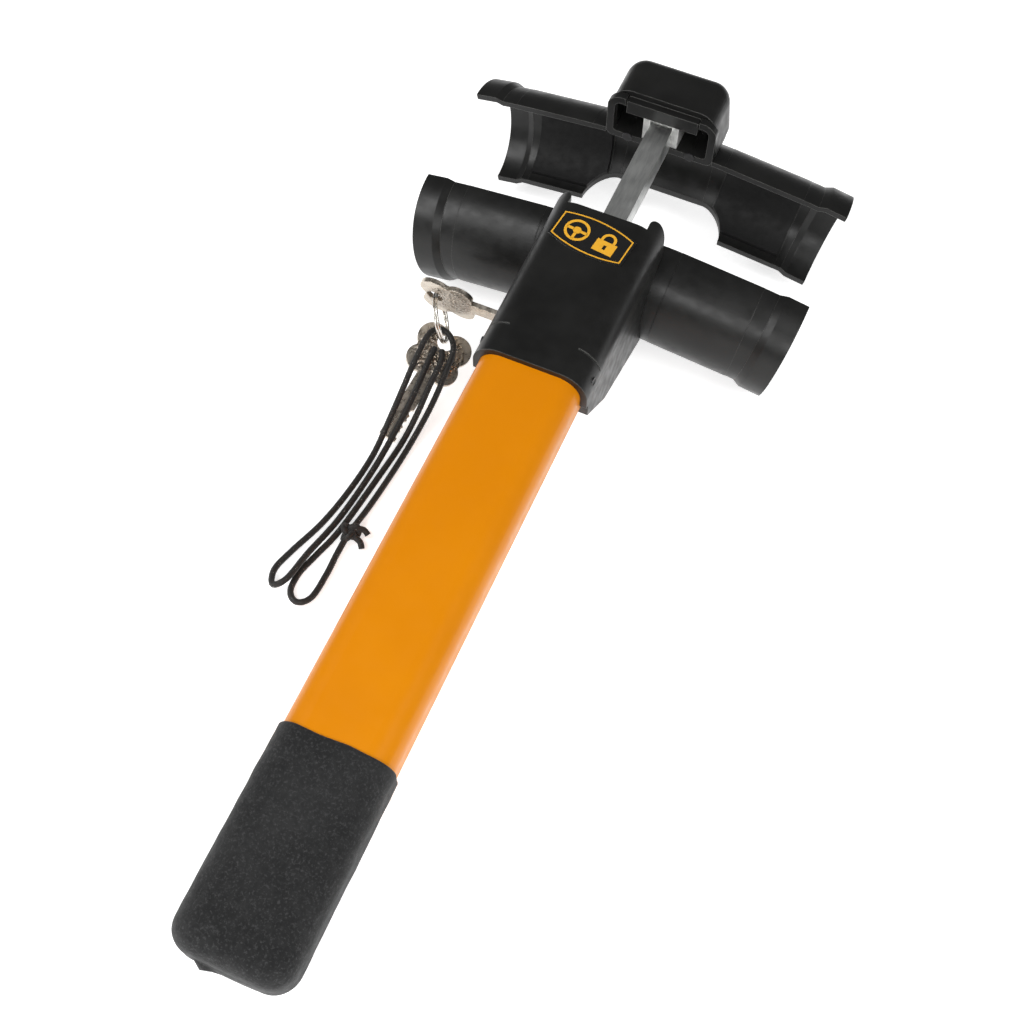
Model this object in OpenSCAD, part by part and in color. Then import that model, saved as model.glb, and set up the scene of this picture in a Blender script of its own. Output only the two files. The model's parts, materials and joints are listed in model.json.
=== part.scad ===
// Steering wheel lock: a hook jaw on a long handle and a second jaw that slides on a notched bar.
// It lies on its back. +X runs along the jaws, +Y along the handle to the jaws, +Z is up.

/* [Jaws] */
// Outer radius of the half-round jaw shells
jaw_r = 23.8; // [23:0.2:25]
// Metal thickness of the jaw shells
jaw_wall = 2.6; // [2.2:0.2:3]
// Thickness of the rubber liners
liner_t = 1.9; // [1.5:0.1:2.3]
// Outer radius of the bell-shaped jaw ends
bell_r = 25.2; // [25:0.2:26]
// Distance from the middle to the start of a bell
arm_x = 62.5; // [60:0.5:66]
// Distance from the middle to the end of a bell, on the jaw's axis
end_x = 76.5; // [74:0.5:79]
// Slope of the arms, which follow a wheel's curve
arm_slope = 6.5; // [5:0.5:8]
// Slope of the bells
bell_slope = 11; // [9:0.5:13]
// Distance between the two jaws' lips, as drawn out
jaw_gap = 47; // [46:0.5:50]

/* [Head] */
// Width of the front cover
head_w = 45; // [44.5:0.5:47]
// Length of the front cover below the bar's opening
head_l = 73; // [70:1:78]
// Depth of the front cover's sides
cover_depth = 16; // [14:0.5:18]
// Radius along the front cover's long edges
cover_r = 11; // [10:0.5:12]
// Length of the two ears beside the bar's opening
ear_l = 6; // [4:0.5:7]

/* [Handle] */
// Width of the handle tube
tube_w = 39.6; // [39:0.1:40.2]
// Thickness of the handle tube
tube_h = 24; // [23.6:0.1:24]
// Wall of the handle tube
tube_wall = 1.8; // [1.5:0.1:2.2]
// Length from the bar's opening to the handle's lower end
handle_l = 288; // [280:1:296]
// Length of the dipped grip
grip_l = 74; // [60:1:90]
// Thickness of the dipped grip
grip_t = 1.1; // [1:0.1:1.6]

/* [Bar] */
// Width of the sliding bar
bar_w = 9.5; // [9:0.1:9.6]
// Height of the sliding bar
bar_h = 9.6; // [9.4:0.1:9.6]
// Distance between the bar's locking notches
notch_pitch = 7.5; // [7.5:0.1:7.6]

/* [Lock] */
// Radius of the lock's plug
plug_r = 4.6; // [4.4:0.1:4.8]
// Lean of the keyway from the thickness of the head, as drawn
key_lean = 10; // [5:1:15]
// Lift of the locking bolt over a quarter turn of the key
bolt_lift = 3; // [2.8:0.1:3]
// Thickness of a key
key_t = 2; // [1.8:0.1:2]

/* [Hidden] */
$fn = 64;

// How it lies: the lock is drawn square to the handle, then tipped onto the jaws' ends and the grip
lie_tilt = 9.3;
lie_lift = 74.44;
lie_shift = 101.3;

// Jaw axis: lips' plane of the fixed jaw, depth under the label face, and the two bends
lip_y = 11;
jaw_z = -44.9;
root_x = 22.6;
arm_drop = (arm_x - root_x) * tan(arm_slope);
arm_len = (arm_x - root_x) / cos(arm_slope);
bell_len = (end_x - arm_x) / cos(bell_slope);
shoulder = 3;
bend_r = 60;
bend_step = 0.1;
root_bend = bend_r * tan(arm_slope / 2);
bell_bend = bend_r * tan((bell_slope - arm_slope) / 2);
arm_straight = arm_len - root_bend - bell_bend;
seam = 0.3;
slip = 0.15;

// Handle tube
tube_r = 9;
tube_z = -2.6 - tube_h / 2;
tube_top_y = -10;
bore_w = tube_w - 2 * tube_wall;
bore_h = tube_h - 2 * tube_wall;
bore_r = tube_r - tube_wall;
plug_lip = 2;
grip_cap = 9;
grip_end = -handle_l - plug_lip - grip_cap;

// Bar, with its notches on the underside over the locking bolt
bar_z = -12.4 - bar_h / 2;
bar_under = bar_z - bar_h / 2;
bar_end_y = -110;
bar_head_y = 77;
notch_w = 4.5;
notch_d = 3;
notches = 7;
stop_l = 8;
stop_y = -100;

// Block behind the moving jaw
rim_y = lip_y + jaw_gap;
rim_w = 46;
rim_wall = 3;
rim_low = -24.4;
rim_top = -4.4;
cap_y = rim_y + 3.3;
cap_back = 84;
cap_top = -0.6;
cap_floor = rim_low + rim_wall + 0.1;
cap_r = 8;
cap_draft = 1.5;

// Lock cylinder across the head, and the bolt that its cam lifts
key_y = -36;
key_z = -36.5;
body_w = 43.6;
lock_face = -body_w / 2;
housing_r = 6.5;
housing_end = -7;
tail_r = 2.5;
cam_x = -6.4;
cam_t = 2;
crank = 3;
crank_r = 1.2;
bolt_w = 10;
bolt_x = -4;
bolt_low = -41.2;
bolt_nose = 4;
head_mouth = 15;
screw_y = -49;
spring_floor = -46.4;

// Key: a clover bow with a ring hole on the blade's axis
blade_w = 7;
blade_x = 16;
hole_x = 33.8;
hole_r = 3.4;
ring_r = 10;
wire_r = 0.5;
ring_turn = -38;
ring_yaw = 14;
ring_lean = -25;

// Cord: knotted loop of thin cord, folded into four strands between the ring and its lower loops
cord_r = 1.2;
spare_at = [-47.6, 63.2, 16.4];
knot_at = [-44, -27, 2.6];
LANYARD = [
    [-46.8, 58, 17.8], [-45, 54, 16.6], [-45, 44, 12.8], [-45, 32, 7], [-45.6, 20, 2.3],
    [-46.4, 2, 1.6], [-48, -27, 1.6], [-50.6, -41, 1.6], [-52.4, -51, 1.6], [-51.4, -59, 1.6],
    [-47.2, -62, 1.6], [-43.4, -58, 1.6], [-43.2, -47, 1.6], [-44, -37, 1.7], [-44, -27, 2.4],
    [-43.2, -13, 1.6], [-42.6, 5, 1.6], [-42.4, 22, 2.3], [-41.8, 38, 7], [-41.8, 50, 13],
    [-43, 60.8, 18], [-48.8, 65.8, 20.5], [-53.6, 61.6, 21.4], [-54.2, 50, 17.6], [-53.8, 38, 12.6],
    [-53.4, 25, 7.2], [-53, 10, 2.1], [-53.4, -9, 1.6], [-55.4, -27, 1.6], [-59.4, -43, 1.6],
    [-61.2, -53, 1.6], [-58.4, -59.4, 2.2], [-54.4, -56, 4], [-52.8, -43, 4.1], [-50.8, -23, 1.6],
    [-49.8, 1, 1.6], [-49.4, 20, 4.8], [-49.2, 38, 10.8], [-49.8, 54, 16.8], [-49.4, 58, 18]
];

// Stands the lock on the surface that it lies on
module lay() {
    translate([0, lie_shift, lie_lift]) rotate([lie_tilt, 0, 0]) children();
}

// Extrudes a profile drawn in X and Z along the handle, from y_hi down
module along_y(y_hi, l) {
    translate([0, y_hi, 0]) rotate([90, 0, 0]) linear_extrude(l) children();
}

// Extrudes a profile drawn in Y and Z across the lock, from x_lo up
module along_x(x_lo, l) {
    translate([x_lo, 0, 0]) rotate([90, 0, 90]) linear_extrude(l) children();
}

module rod_x(x_lo, l, r) {
    translate([x_lo, 0, 0]) rotate([0, 90, 0]) cylinder(r = r, h = l);
}

module block(lo, hi) {
    translate(lo) cube(hi - lo);
}

module round_box(w, h, r) {
    square([w - 2 * r, h], center = true);
    square([w, h - 2 * r], center = true);
    for (sx = [-1, 1], sz = [-1, 1]) translate([sx * (w / 2 - r), sz * (h / 2 - r)]) circle(r);
}

// Profile of the front cover: flat face, two rounded long edges, open back
module cover_profile(w, top, r) {
    intersection() {
        translate([-w / 2, -cover_depth]) square([w, cover_depth + top]);
        union() {
            translate([-w / 2, -cover_depth]) square([w, cover_depth + top - r]);
            translate([r - w / 2, -cover_depth]) square([w - 2 * r, cover_depth + top]);
            for (sx = [-1, 1]) translate([sx * (w / 2 - r), top - r]) circle(r);
        }
    }
}

// Places children at a jaw's bend: local Z runs outward along the arm or the bell
module on_arm(side) {
    translate([side * root_x, 0, jaw_z]) rotate([0, side * (90 + arm_slope), 0]) children();
}
module on_bell(side) {
    translate([side * arm_x, 0, jaw_z - arm_drop]) rotate([0, side * (90 + bell_slope), 0]) children();
}

// Half ring between two radii, on the jaw's side of the lips' plane (-1 = towards the handle)
module half_ring(dir, in_r, out_r) {
    difference() {
        circle(out_r);
        circle(in_r);
        translate([-out_r - 1, dir < 0 ? 0 : -out_r - 1]) square([2 * out_r + 2, out_r + 1]);
    }
}

// Bends a profile drawn around the jaw's axis, then carries its children on from the bend's end
module bend(dir, turn) {
    translate([bend_r, 0, 0]) rotate([90, 0, 180]) rotate_extrude(angle = turn)
        translate([bend_r, 0]) mirror([1, 0]) half_ring(dir, jaw_r - jaw_wall + bend_step, jaw_r - bend_step);
    translate([bend_r, 0, 0]) rotate([0, turn, 0]) translate([-bend_r, 0, 0]) children();
}

// One end of a jaw beyond its level root: bend, arm, second bend, and the bell with its shoulder
module jaw_end(dir) {
    in_r = jaw_r - jaw_wall;
    in_bell = bell_r - jaw_wall;
    bell_l = bell_len - bell_bend;
    translate([root_x - root_bend, 0, jaw_z]) rotate([0, 90, 0]) bend(dir, arm_slope) {
        linear_extrude(arm_straight) half_ring(dir, in_r, jaw_r);
        translate([0, 0, arm_straight]) bend(dir, bell_slope - arm_slope)
            rotate(dir < 0 ? 180 : 0) rotate_extrude(angle = 180) polygon([[in_r, 0], [jaw_r, 0],
                [bell_r, shoulder], [bell_r, bell_l], [in_bell, bell_l], [in_bell, shoulder]]);
    }
}

module jaw_shell(dir) {
    root_l = 2 * (root_x - root_bend);
    translate([-root_l / 2, 0, jaw_z]) rotate([0, 90, 0]) linear_extrude(root_l)
        half_ring(dir, jaw_r - jaw_wall, jaw_r);
    jaw_end(dir);
    mirror([1, 0, 0]) jaw_end(dir);
}

// Rubber half liners in the two arms, short of the sliding jaw's lips
module jaw_liner(dir) {
    out_r = jaw_r - jaw_wall;
    liner_lip = 4;
    for (side = [0, 1]) mirror([side, 0, 0]) on_arm(1) translate([0, 0, root_bend + 0.5])
        linear_extrude(arm_straight - 1) difference() {
            half_ring(dir, out_r - liner_t, out_r);
            if (dir > 0) translate([-out_r, -1]) square([2 * out_r, liner_lip + 1]);
        }
}

module saddle() {
    translate([0, lip_y, jaw_z]) rod_x(-40, 80, jaw_r + seam);
}

module bar_way(y_lo, y_hi, room) {
    block([-bar_w / 2 - room, y_lo, bar_under - room], [bar_w / 2 + room, y_hi, bar_z + bar_h / 2 + room]);
}

module screw(head_r, head_t, r, l) {
    cylinder(r = head_r, h = head_t);
    translate([0, 0, -l]) cylinder(r = r, h = l + 0.1);
}

module head_cover() {
    ear_in = head_mouth + 1;
    ear_r = (head_w / 2 - ear_in) / 2;
    color("#1b1b1c") lay() difference() {
        intersection() {
            along_y(ear_l, head_l + ear_l) cover_profile(head_w, 0, cover_r);
            union() {
                block([-head_w / 2, -head_l, -40], [head_w / 2, 0, 1]);
                for (side = [-1, 1]) translate([side * (ear_in + ear_r), 0, -40]) {
                    translate([-ear_r, -1, 0]) cube([2 * ear_r, ear_l - ear_r + 1, 41]);
                    translate([0, ear_l - ear_r, 0]) cylinder(r = ear_r, h = 41);
                }
            }
        }
        along_y(ear_l + 1, head_l + ear_l + 2) cover_profile(tube_w + 0.2, -2.5, tube_r + 0.1);
        along_y(ear_l + 1, head_l + ear_l + 2) translate([-tube_w / 2 - 0.1, -cover_depth - 1]) square([tube_w + 0.2, 2]);
        saddle();
        cross_pin_hole();
        corner_grooves();
    }
}

// Short shallow grooves across the cover's two long edges, above the collar
module corner_grooves() {
    groove_y = -60;
    difference() {
        along_y(groove_y, 0.7) cover_profile(head_w + 2, 1, cover_r + 1);
        along_y(groove_y + 1, 3) cover_profile(head_w - 0.8, -0.4, cover_r - 0.4);
        block([-head_w / 2 + cover_r - 2, -head_l, -2], [head_w / 2 - cover_r + 2, 0, 2]);
        block([-40, -head_l, -40], [40, 0, -cover_r + 2]);
    }
}

module cross_pin_hole() {
    translate([0, -66, -8]) rod_x(-40, 80, 1.5);
}

module head_cross_pin() {
    color("#2a2a2b") lay() translate([0, -66, -8]) rod_x(-head_w / 2 + 0.4, head_w - 0.8, 1.5);
}

// Slope of the rear body's back, from the jaw to its lower end
module body_profile(inset) {
    low = -cover_depth - 0.1;
    polygon([[-69 + inset, low], [-69 + inset, -27], [-56 + inset, -38], [-50, -43 + inset],
        [-8, -57 + inset], [8, -57 + inset], [8, -30], [ear_l, -30], [ear_l, low]]);
}

module head_rear_body() {
    color("#222223") lay() difference() {
        along_x(-body_w / 2, body_w) body_profile(0);
        saddle();
        translate([0, 0, tube_z]) along_y(tube_top_y + 1, 80) round_box(tube_w + 0.2, tube_h + 0.2, tube_r + 0.1);
        block([-head_mouth, tube_top_y, tube_z - tube_h / 2], [head_mouth, 20, 0]);
        difference() {
            along_x(-body_w / 2 + 2.5, body_w - 5) body_profile(2.5);
            translate([0, lip_y, jaw_z]) rod_x(-30, 60, jaw_r + 3);
            translate([0, key_y, key_z]) rod_x(-30, 22, housing_r + 2);
            for (side = [-1, 1]) translate([side * 13, screw_y, -60]) cylinder(r = 4, h = 40);
            block([-bolt_w, key_y - 8, -60], [bolt_w, key_y + 8, spring_floor]);
        }
        translate([0, key_y, key_z]) rod_x(-30, 30 + housing_end, housing_r);
        block([-7, key_y - 6, spring_floor], [7, key_y + 6, -20]);
        for (side = [-1, 1]) {
            translate([side * 13, screw_y, -60]) cylinder(r = 1.5, h = 60);
            translate([side * 13, screw_y, -60]) cylinder(r = 3.2, h = 60 - 41);
            translate([side * 9, -20, jaw_z]) rotate([-90, 0, 0]) cylinder(r = 1.8, h = 20);
        }
    }
}

module body_screws() {
    color("#5a5a5c") lay() for (side = [-1, 1]) {
        translate([side * 13, screw_y, -41]) mirror([0, 0, 1]) difference() {
            screw(3, 1.8, 1.5, 16.2);
            translate([0, 0, 0.8]) cylinder(r = 1.4, h = 2, $fn = 6);
        }
    }
}

module label_plate() {
    bow_r = 46;
    mid = 8.9;
    color("#111111") lay() translate([-1, -12.7, 0]) rotate(-7) linear_extrude(0.4) intersection() {
        square([31, 2 * mid], center = true);
        translate([0, bow_r - mid]) circle(bow_r);
        translate([0, mid - bow_r]) circle(bow_r);
    }
}

module handle_tube() {
    color("#e08a05") lay() difference() {
        translate([0, 0, tube_z]) along_y(tube_top_y, handle_l + tube_top_y) difference() {
            round_box(tube_w, tube_h, tube_r);
            round_box(bore_w, bore_h, bore_r);
        }
        block([-6, key_y - 6, -30], [6, key_y + 6, tube_z]);
        cross_pin_hole();
        for (side = [-1, 1]) translate([side * 13, screw_y, -30]) cylinder(r = 1.5, h = 10);
    }
}

module tube_end_plug() {
    color("#2c2c2c") lay() translate([0, 0, tube_z]) {
        along_y(-handle_l, plug_lip) round_box(tube_w, tube_h, tube_r);
        along_y(-handle_l + 12, 12) round_box(bore_w - 2 * slip, bore_h - 2 * slip, bore_r - slip);
    }
}

// Outline with its two lower corners rounded, from the grip's end up to the handle
module end_outline(w, r) {
    translate([-w / 2, grip_end + r]) square([w, grip_l]);
    translate([r - w / 2, grip_end]) square([w - 2 * r, r + 1]);
    for (side = [-1, 1]) translate([side * (w / 2 - r), grip_end + r]) circle(r);
}

// Outside of the dipped grip: the handle's section, with a rounded, closed end
module grip_outside() {
    grip_w = tube_w + 2 * grip_t;
    grip_h = tube_h + 2 * grip_t;
    intersection() {
        along_y(grip_end + grip_l, grip_l) round_box(grip_w, grip_h, tube_r + grip_t);
        translate([0, 0, -grip_h]) linear_extrude(2 * grip_h) end_outline(grip_w + 0.2, 12);
        translate([-grip_w, 0, 0]) rotate([0, 90, 0]) linear_extrude(2 * grip_w) end_outline(grip_h + 0.2, 9);
    }
}

module handle_grip() {
    color("#2b2b2a") lay() translate([0, 0, tube_z]) difference() {
        grip_outside();
        along_y(0, handle_l + plug_lip) round_box(tube_w, tube_h, tube_r);
    }
}

module fixed_jaw() {
    color("#1e1e1f") lay() difference() {
        translate([0, lip_y, 0]) jaw_shell(-1);
        bar_way(-30, 30, 0.5);
        for (side = [-1, 1]) {
            translate([side * 9, -30, jaw_z]) rotate([-90, 0, 0]) cylinder(r = 1.8, h = 30);
            rivet_place(side) translate([0, 0, -8]) cylinder(r = 1.2, h = 16);
        }
    }
}

module fixed_jaw_liners() {
    color("#161616") lay() translate([0, lip_y, 0]) jaw_liner(-1);
}

module fixed_jaw_screws() {
    color("#6c6c6e") lay() for (side = [-1, 1]) {
        translate([side * 9, lip_y - jaw_r + jaw_wall + 0.3, jaw_z]) rotate([-90, 0, 0]) difference() {
            screw(3.4, 2.2, 1.8, 9.6);
            translate([0, 0, 1]) cylinder(r = 1.5, h = 2, $fn = 6);
        }
    }
}

// A rivet's place low on each bell of the fixed jaw, pointing out of the shell
module rivet_place(side) {
    round_from_below = 30;
    turn = side > 0 ? -round_from_below : 180 + round_from_below;
    translate([0, lip_y, 0]) on_bell(side) translate([0, 0, bell_len - 4])
        rotate([0, 0, turn]) rotate([0, 90, 0]) translate([0, 0, bell_r - jaw_wall / 2]) children();
}

module liner_rivets() {
    color("#3a3a3b") lay() for (side = [-1, 1]) rivet_place(side) {
        translate([0, 0, -jaw_wall / 2]) cylinder(r = 1.2, h = jaw_wall);
        translate([0, 0, jaw_wall / 2]) cylinder(r = 2.2, h = 0.7);
    }
}

module bar_guide() {
    color("#d9d6cb") lay() difference() {
        translate([0, 0, tube_z]) along_y(tube_top_y - 1, 18)
            round_box(bore_w - 2 * slip, bore_h - 2 * slip, bore_r - slip);
        bar_way(-60, 0, slip);
    }
}

module stop_bush() {
    color("#8b8d90") lay() difference() {
        translate([0, 0, tube_z]) along_y(stop_y + 7, 6.5)
            round_box(bore_w - 2 * slip, bore_h - 2 * slip, bore_r - slip);
        bar_way(-120, -60, slip);
    }
}

module sliding_bar() {
    color("#9a9d9e") lay() difference() {
        bar_way(bar_end_y, bar_head_y, 0);
        for (n = [0:notches - 1]) {
            at_y = key_y + n * notch_pitch;
            block([-bar_w, at_y - notch_w / 2, bar_under - 1], [bar_w, at_y + notch_w / 2, bar_under + notch_d]);
        }
        translate([0, stop_y - stop_l / 2, bar_z]) rod_x(-20, 40, 1.5);
    }
}

module bar_stop() {
    color("#77797c") lay() difference() {
        translate([0, 0, bar_z]) along_y(stop_y, stop_l) round_box(bar_w + 6, bar_h + 3, 2);
        bar_way(-120, -90, 0.02);
        translate([0, stop_y - stop_l / 2, bar_z]) rod_x(-20, 40, 1.5);
    }
}

module bar_stop_pin() {
    color("#b5b7ba") lay() translate([0, stop_y - stop_l / 2, bar_z]) rod_x(-bar_w / 2 - 2.8, bar_w + 5.6, 1.5);
}

module bar_socket() {
    socket_w = bar_w + 5.4;
    color("#c9c9c6") lay() difference() {
        block([-socket_w / 2, rim_y + 0.4, cap_floor], [socket_w / 2, bar_head_y + 2, -9.7]);
        bar_way(rim_y - 5, bar_head_y, 0);
        block([-bar_w / 2, rim_y - 1, bar_z], [bar_w / 2, rim_y + 6, 0]);
    }
}

// Shallow rounded bay in the moving jaw's lower lip
module lip_bay() {
    bay_d = 13;
    bay_x = 18.5;
    translate([0, rim_y, -90]) linear_extrude(40) {
        translate([-bay_x, -1]) square([2 * bay_x, bay_d + 1]);
        for (side = [-1, 1]) translate([side * bay_x, 0]) circle(bay_d);
    }
}

module moving_jaw() {
    color("#1e1e1f") lay() difference() {
        translate([0, rim_y, 0]) jaw_shell(1);
        block([-rim_w / 2, rim_y - 1, rim_low], [rim_w / 2, rim_y + 30, 0]);
        for (side = [-1, 1]) translate([side * 15, 72, -40]) cylinder(r = 3, h = 40);
        lip_bay();
    }
}

module moving_jaw_liner() {
    color("#161616") lay() difference() {
        translate([0, rim_y, 0]) jaw_liner(1);
        lip_bay();
    }
}

// Upright C-shaped rim with hooked tops, and the floor behind it that joins the jaw shell
module jaw_bracket() {
    hook_r = 6;
    floor_back = cap_back - 1;
    color("#262627") lay() difference() {
        union() {
            along_y(rim_y + rim_wall, rim_wall) difference() {
                union() {
                    translate([0, (rim_low + rim_top) / 2]) round_box(rim_w, rim_top - rim_low, 3);
                    for (side = [-1, 1]) translate([side * (rim_w / 2 - hook_r), rim_top - 4]) circle(hook_r);
                }
                translate([0, (rim_low + rim_top) / 2])
                    round_box(rim_w - 2 * rim_wall, rim_top - rim_low - 2 * rim_wall, 1.5);
                for (side = [-1, 1]) translate([side * (rim_w / 2 - hook_r), rim_top - 4]) circle(hook_r - rim_wall);
                translate([-15.5, -15]) square([31, 20]);
            }
            intersection() {
                block([-rim_w / 2, rim_y + rim_wall - 0.1, rim_low], [rim_w / 2, cap_back, rim_low + rim_wall]);
                translate([0, (rim_y - cap_r + floor_back) / 2, rim_low]) linear_extrude(rim_wall)
                    round_box(rim_w, floor_back - rim_y + cap_r, cap_r);
            }
        }
        bar_way(rim_y - 5, cap_back, 0);
        for (side = [-1, 1]) {
            bracket_rivet_place(side) translate([0, 0, -10]) cylinder(r = 1, h = 20);
            translate([side * 15, 72, -30]) cylinder(r = 1.5, h = 20);
        }
    }
}

module bracket_rivet_place(side) {
    translate([side * 13.5, rim_y, rim_low + 1.9]) rotate([90, 0, 0]) children();
}

module bracket_rivets() {
    color("#37373a") lay() for (side = [-1, 1]) bracket_rivet_place(side) {
        translate([0, 0, -6]) cylinder(r = 1, h = 6);
        cylinder(r = 2.1, h = 0.5);
    }
}

// Rounded hollow cap over the bar's end, with two pockets in its front
module jaw_cap() {
    x_c = rim_w / 2 + 0.4 - cap_r;
    color("#1a1a1b") lay() difference() {
        union() {
            hull() for (sx = [-1, 1], sy = [0, 1], sz = [0, 1])
                translate([sx * (x_c - sz * cap_draft), sy ? cap_back - cap_r : cap_y + 2,
                    sz ? cap_top - cap_r : cap_floor])
                    if (sy && sz) sphere(cap_r, $fn = 40);
                    else if (sy) cylinder(r = cap_r, h = 1, $fn = 40);
                    else if (sz) rotate([90, 0, 0]) cylinder(r = cap_r, h = 2, $fn = 40);
                    else translate([-cap_r, -2, 0]) cube([2 * cap_r, 3, 1]);
            block([-15, rim_y + 0.2, -9.6], [15, cap_y + 1, -3.4]);
        }
        block([-20, rim_y - 1, cap_floor - 1], [20, cap_back - 3, -9.6]);
        for (side = [-1, 1]) translate([side * 15, 72, cap_floor - 1]) cylinder(r = 1.5, h = 18);
    }
}

module cap_screws() {
    color("#6c6c6e") lay() for (side = [-1, 1])
        translate([side * 15, 72, rim_low]) mirror([0, 0, 1]) screw(2.8, 1.6, 1.5, 18);
}

module at_lock() {
    translate([0, key_y, key_z]) rotate([key_lean, 0, 0]) children();
}

module keyway(room) {
    block([-60, -key_t / 2 - room, -blade_w / 2 - room], [-9, key_t / 2 + room, blade_w / 2 + room]);
}

module lock_housing() {
    color("#b9bbbd") lay() at_lock() difference() {
        rod_x(lock_face - 0.4, housing_end - lock_face + 0.4, housing_r);
        rod_x(lock_face - 2, 40, plug_r + 0.05);
    }
}

module lock_plug() {
    color("#c8a24a") lay() at_lock() difference() {
        union() {
            rod_x(lock_face - 0.6, housing_end - lock_face - 0.5, plug_r);
            rod_x(housing_end - 1.2, cam_x + cam_t - housing_end + 1.2, tail_r);
        }
        keyway(0.1);
    }
}

module plug_clip() {
    color("#8f9194") lay() at_lock() difference() {
        rod_x(housing_end + 0.1, 0.4, tail_r + 1.6);
        rod_x(housing_end - 1, 3, tail_r);
        block([-20, -1.2, 0], [0, 1.2, 8]);
    }
}

module lock_cam() {
    color("#a7a9ab") lay() translate([0, key_y, key_z]) {
        difference() {
            rod_x(cam_x, cam_t, plug_r);
            rod_x(cam_x - 1, cam_t + 2, tail_r);
        }
        translate([0, -crank, 0]) rod_x(cam_x + cam_t - 0.1, 3.1, crank_r);
    }
}

module locking_bolt() {
    play = 0.2;
    color("#85888b") lay() difference() {
        union() {
            block([bolt_x, key_y - 5, bolt_low], [bolt_x + bolt_w, key_y + 5, -30]);
            block([-3.5, key_y - bolt_nose / 2, -30.1], [3.5, key_y + bolt_nose / 2, bar_under - 0.4]);
        }
        block([bolt_x - 1, key_y - crank - crank_r - play - 5, key_z - crank_r - play],
            [bolt_x + 3.2, key_y + crank_r + play, key_z + crank_r + 0.9]);
        translate([3, key_y, bolt_low - 1]) cylinder(r = 2.6, h = 5);
    }
}

// Points around one ring of a swept tube, square to the way ahead
function ahead(p, i) = p[min(i + 1, len(p) - 1)] - p[max(i - 1, 0)];
function unit(v) = v / norm(v);
function side_of(d) = unit(cross(d, abs(unit(d)[2]) > 0.9 ? [1, 0, 0] : [0, 0, 1]));
function ring_at(p, i, r, sides) = let (d = unit(ahead(p, i)), u = side_of(d), v = cross(u, d))
    [for (k = [0:sides - 1]) p[i] + r * (cos(360 * k / sides) * u + sin(360 * k / sides) * v)];

module swept_tube(p, r, sides) {
    rings = len(p);
    polyhedron(
        points = [for (i = [0:rings - 1]) each ring_at(p, i, r, sides)],
        faces = concat(
            [[for (k = [sides - 1:-1:0]) k]],
            [for (i = [0:rings - 2], k = [0:sides - 1]) [i * sides + k, i * sides + (k + 1) % sides,
                (i + 1) * sides + (k + 1) % sides]],
            [for (i = [0:rings - 2], k = [0:sides - 1]) [i * sides + k, (i + 1) * sides + (k + 1) % sides,
                (i + 1) * sides + k]],
            [[for (k = [0:sides - 1]) (rings - 1) * sides + k]]));
}

// Point at t (0 to 1) between p[i] and p[i + 1] on a smooth curve through every point
function on_curve(p, i, t) = let (
    a = p[max(i - 1, 0)], b = p[i], c = p[i + 1], d = p[min(i + 2, len(p) - 1)])
    0.5 * (2 * b + t * (c - a) + t * t * (2 * a - 5 * b + 4 * c - d) + t * t * t * (3 * b - a - 3 * c + d));
function smooth(p, steps) = concat(
    [for (i = [0:len(p) - 2], k = [0:steps - 1]) on_curve(p, i, k / steps)], [p[len(p) - 1]]);

module bolt_spring() {
    turns = 4;
    coil_r = 2;
    per_turn = 12;
    h = bolt_low + 4 - spring_floor - 0.8;
    path = [for (k = [0:turns * per_turn]) let (a = 360 * k / per_turn)
        [coil_r * cos(a), coil_r * sin(a), 0.4 + h * k / (turns * per_turn)]];
    color("#c4c6c8") lay() translate([3, key_y, spring_floor]) swept_tube(path, 0.3, 6);
}

// Flat outline of a key, blade along +X from its tip at 0
module key_outline(tip) {
    translate([-tip, -blade_w / 2]) square([tip + blade_x + 6, blade_w]);
    translate([blade_x + 12, 0]) circle(9.6);
    for (side = [-1, 1]) {
        translate([blade_x + 7, side * 5.6]) circle(5.6);
        translate([blade_x + 17, side * 5.2]) circle(6.4);
    }
}

// A key drawn from the lock's face outward, with its ring hole at hole_x
module key_blank(tip) {
    rotate([90, 0, 0]) translate([0, 0, -key_t / 2]) linear_extrude(key_t) difference() {
        key_outline(tip);
        translate([hole_x, 0]) circle(hole_r);
        for (n = [0:4]) translate([-tip + 3 + n * 2.6, blade_w / 2 + 0.4 + (n % 2) * 0.5]) circle(1.6);
    }
}

module key_1() {
    color("#b9b3a6") lay() at_lock() translate([lock_face - 0.6, 0, 0]) mirror([1, 0, 0]) key_blank(12);
}

// The ring hole of the first key, where the ring hangs
module at_ring() {
    lay() translate([lock_face - 0.6 - hole_x, key_y, key_z])
        rotate([ring_turn, 0, 0]) rotate([0, 0, ring_yaw]) rotate([0, ring_lean, 0]) children();
}

module key_ring() {
    color("#cfd0d2") at_ring() translate([0, 0, -ring_r]) rotate([0, 90, 0])
        for (side = [-1, 1]) translate([0, 0, side * wire_r]) rotate_extrude($fn = 96)
            translate([ring_r, 0]) circle(wire_r * 0.98);
}

// The spare key hangs from the ring's far side and leans on the surface
module key_2() {
    color("#b9b3a6") translate(spare_at) rotate([0, 0, 84]) rotate([0, -18.3, 0]) rotate([109, 0, 0])
        translate([-hole_x, 0, 0]) key_blank(12);
}

module lanyard_cord() {
    color("#141414") swept_tube(smooth(LANYARD, 2), cord_r, 8);
}

module lanyard_knot() {
    color("#141414") translate(knot_at) hull() {
        translate([0, -2.5, 0]) sphere(2.6, $fn = 20);
        translate([0.8, 2.5, 0]) sphere(2.4, $fn = 20);
    }
}

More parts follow.
